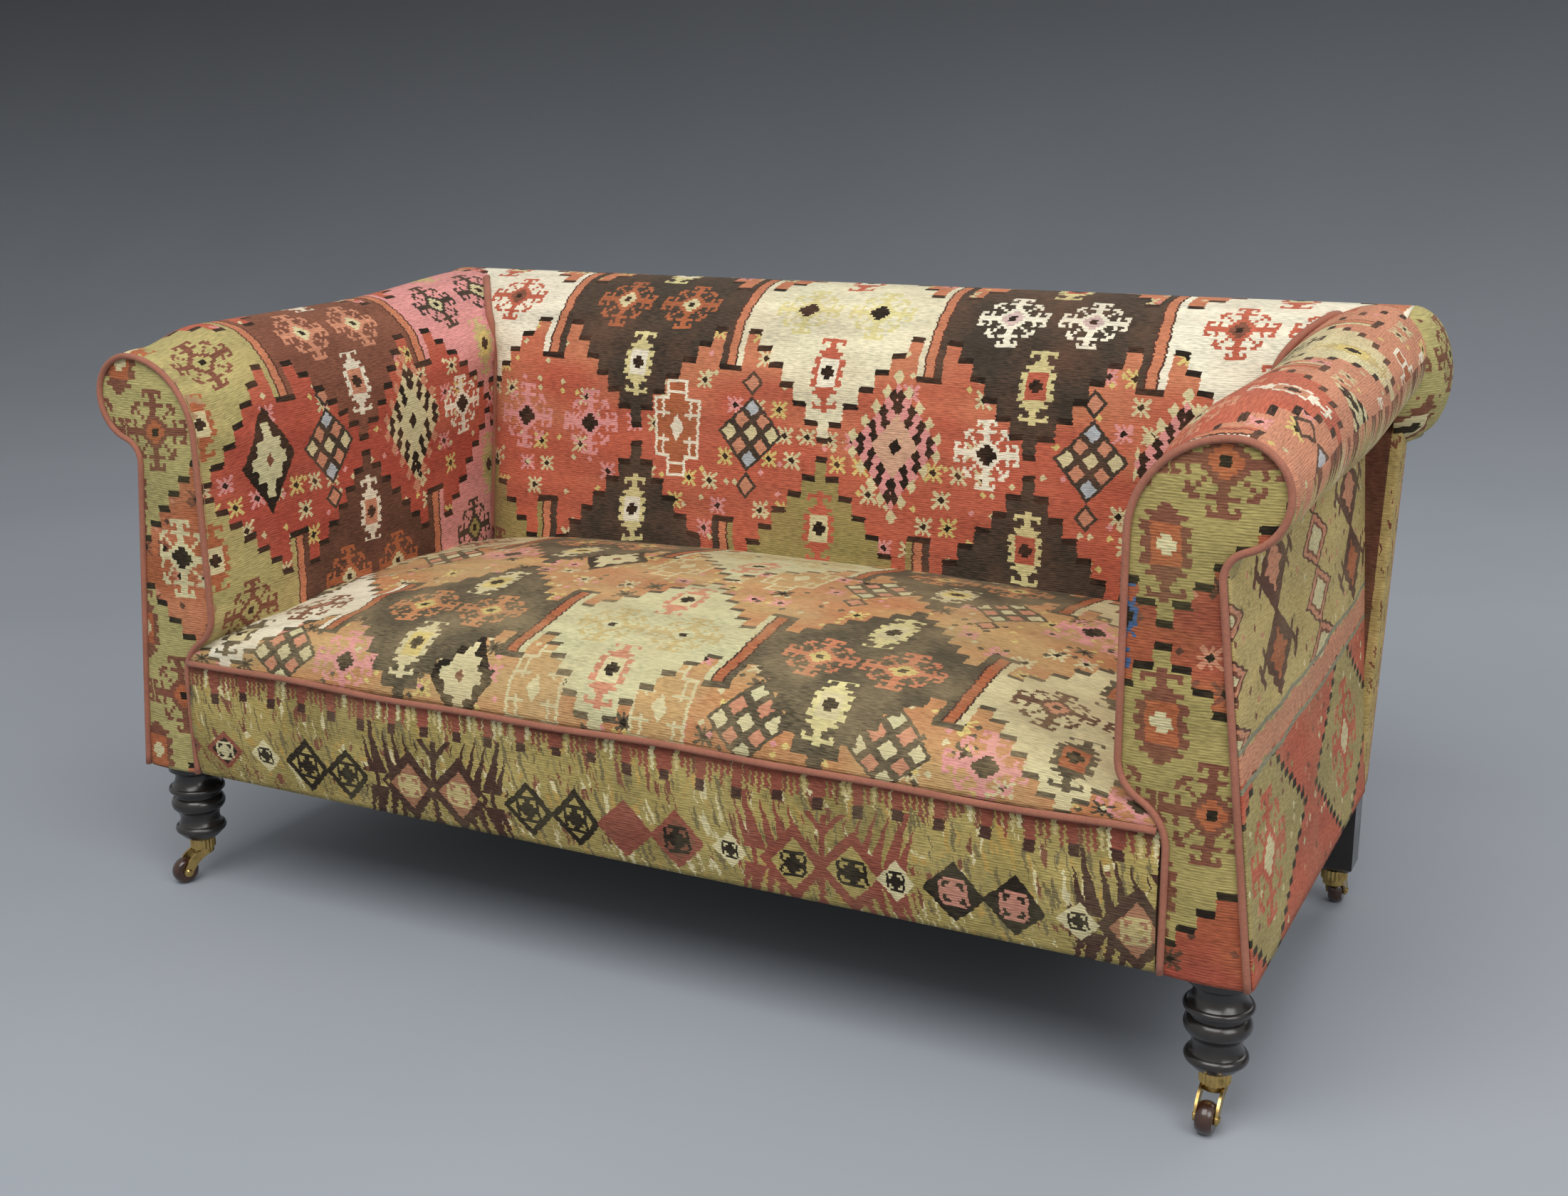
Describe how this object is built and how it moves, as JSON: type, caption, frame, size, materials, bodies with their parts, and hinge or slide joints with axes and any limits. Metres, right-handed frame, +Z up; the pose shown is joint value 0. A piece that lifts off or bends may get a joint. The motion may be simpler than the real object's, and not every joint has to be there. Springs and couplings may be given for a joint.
{
  "type": "chesterfield sofa",
  "caption": "Sprung chesterfield sofa with level scrolled arms and back, flat-woven cover, piped facings, turned front legs and swivel casters.",
  "frame": {"origin": "on the floor, under the middle of the sofa's outline", "axes": "+Z up, +X along the back towards the sitter's left arm, -Y towards the front"},
  "size_m": [1.6, 0.859, 0.78],
  "materials": {
    "kilim": "flat-woven wool, worn",
    "piping": "terracotta wool cord",
    "beech": "sawn",
    "ebonised_wood": "ebonised, waxed",
    "stuffing": "horsehair in hessian",
    "webbing": "jute",
    "hessian": "plain weave jute",
    "bottom_cloth": "black cotton",
    "spring_steel": "coppered",
    "brass": "aged, rubbed",
    "brown_glaze": "brown glazed ceramic"
  },
  "bodies": {
    "sofa": {"seat_cover": "kilim", "left_arm_cover": "kilim", "right_arm_cover": "kilim", "back_cover": "kilim", "left_facing_cover": "kilim", "right_facing_cover": "kilim", "back_side_covers": "kilim", "front_border_cover": "kilim", "left_outside_arm_cover": "kilim", "right_outside_arm_cover": "kilim", "outside_back_cover": "kilim", "left_back_scroll_end": "kilim", "right_back_scroll_end": "kilim", "seat_front_piping": "piping", "left_facing_piping": "piping", "right_facing_piping": "piping", "corner_welts": "piping", "front_seat_rail": "beech", "back_seat_rail": "beech", "side_seat_rails": "beech", "front_leg_blocks": "beech", "rear_corner_braces": "beech", "left_arm_stump": "beech", "right_arm_stump": "beech", "left_arm_top_rail": "beech", "right_arm_top_rail": "beech", "arm_tacking_rails": "beech", "back_top_rail": "beech", "back_tacking_rail": "beech", "back_stays": "beech", "left_front_leg": "ebonised_wood", "right_front_leg": "ebonised_wood", "left_back_post": "ebonised_wood", "right_back_post": "ebonised_wood", "seat_stuffing": "stuffing", "left_arm_stuffing": "stuffing", "right_arm_stuffing": "stuffing", "back_stuffing": "stuffing", "seat_webbing": "webbing", "back_webbing": "webbing", "arm_webbing": "webbing", "spring_canvas": "hessian", "bottom_cloth": "bottom_cloth", "seat_springs": "spring_steel", "front_right_caster_socket": "brass", "front_left_caster_socket": "brass", "back_right_caster_socket": "brass", "back_left_caster_socket": "brass"},
    "front_right_swivel": {"front_right_caster_horn": "brass", "front_right_caster_axle": "brass"},
    "front_right_wheel": {"front_right_caster_wheel": "brown_glaze"},
    "front_left_swivel": {"front_left_caster_horn": "brass", "front_left_caster_axle": "brass"},
    "front_left_wheel": {"front_left_caster_wheel": "brown_glaze"},
    "back_right_swivel": {"back_right_caster_horn": "brass", "back_right_caster_axle": "brass"},
    "back_right_wheel": {"back_right_caster_wheel": "brown_glaze"},
    "back_left_swivel": {"back_left_caster_horn": "brass", "back_left_caster_axle": "brass"},
    "back_left_wheel": {"back_left_caster_wheel": "brown_glaze"}
  },
  "joints": [
    {"name": "front_right_swivel_turn", "type": "hinge", "parent": "sofa", "child": "front_right_swivel", "pos_m": [0.712, -0.3735, 0.0422], "axis": [0, 0, 1], "continuous": true},
    {"name": "front_right_wheel_roll", "type": "hinge", "parent": "front_right_swivel", "child": "front_right_wheel", "pos_m": [0.712, -0.4025, 0.018], "axis": [1, 0, 0], "continuous": true},
    {"name": "front_left_swivel_turn", "type": "hinge", "parent": "sofa", "child": "front_left_swivel", "pos_m": [-0.712, -0.3735, 0.0422], "axis": [0, 0, 1], "continuous": true},
    {"name": "front_left_wheel_roll", "type": "hinge", "parent": "front_left_swivel", "child": "front_left_wheel", "pos_m": [-0.72286, -0.40039, 0.018], "axis": [0.9272, -0.3746, 0], "continuous": true},
    {"name": "back_right_swivel_turn", "type": "hinge", "parent": "sofa", "child": "back_right_swivel", "pos_m": [0.722, 0.199, 0.0422], "axis": [0, 0, 1], "continuous": true},
    {"name": "back_right_wheel_roll", "type": "hinge", "parent": "back_right_swivel", "child": "back_right_wheel", "pos_m": [0.722, 0.228, 0.018], "axis": [-1, 0, 0], "continuous": true},
    {"name": "back_left_swivel_turn", "type": "hinge", "parent": "sofa", "child": "back_left_swivel", "pos_m": [-0.722, 0.199, 0.0422], "axis": [0, 0, 1], "continuous": true},
    {"name": "back_left_wheel_roll", "type": "hinge", "parent": "back_left_swivel", "child": "back_left_wheel", "pos_m": [-0.73985, 0.22185, 0.018], "axis": [-0.788, -0.6157, 0], "continuous": true}
  ]
}
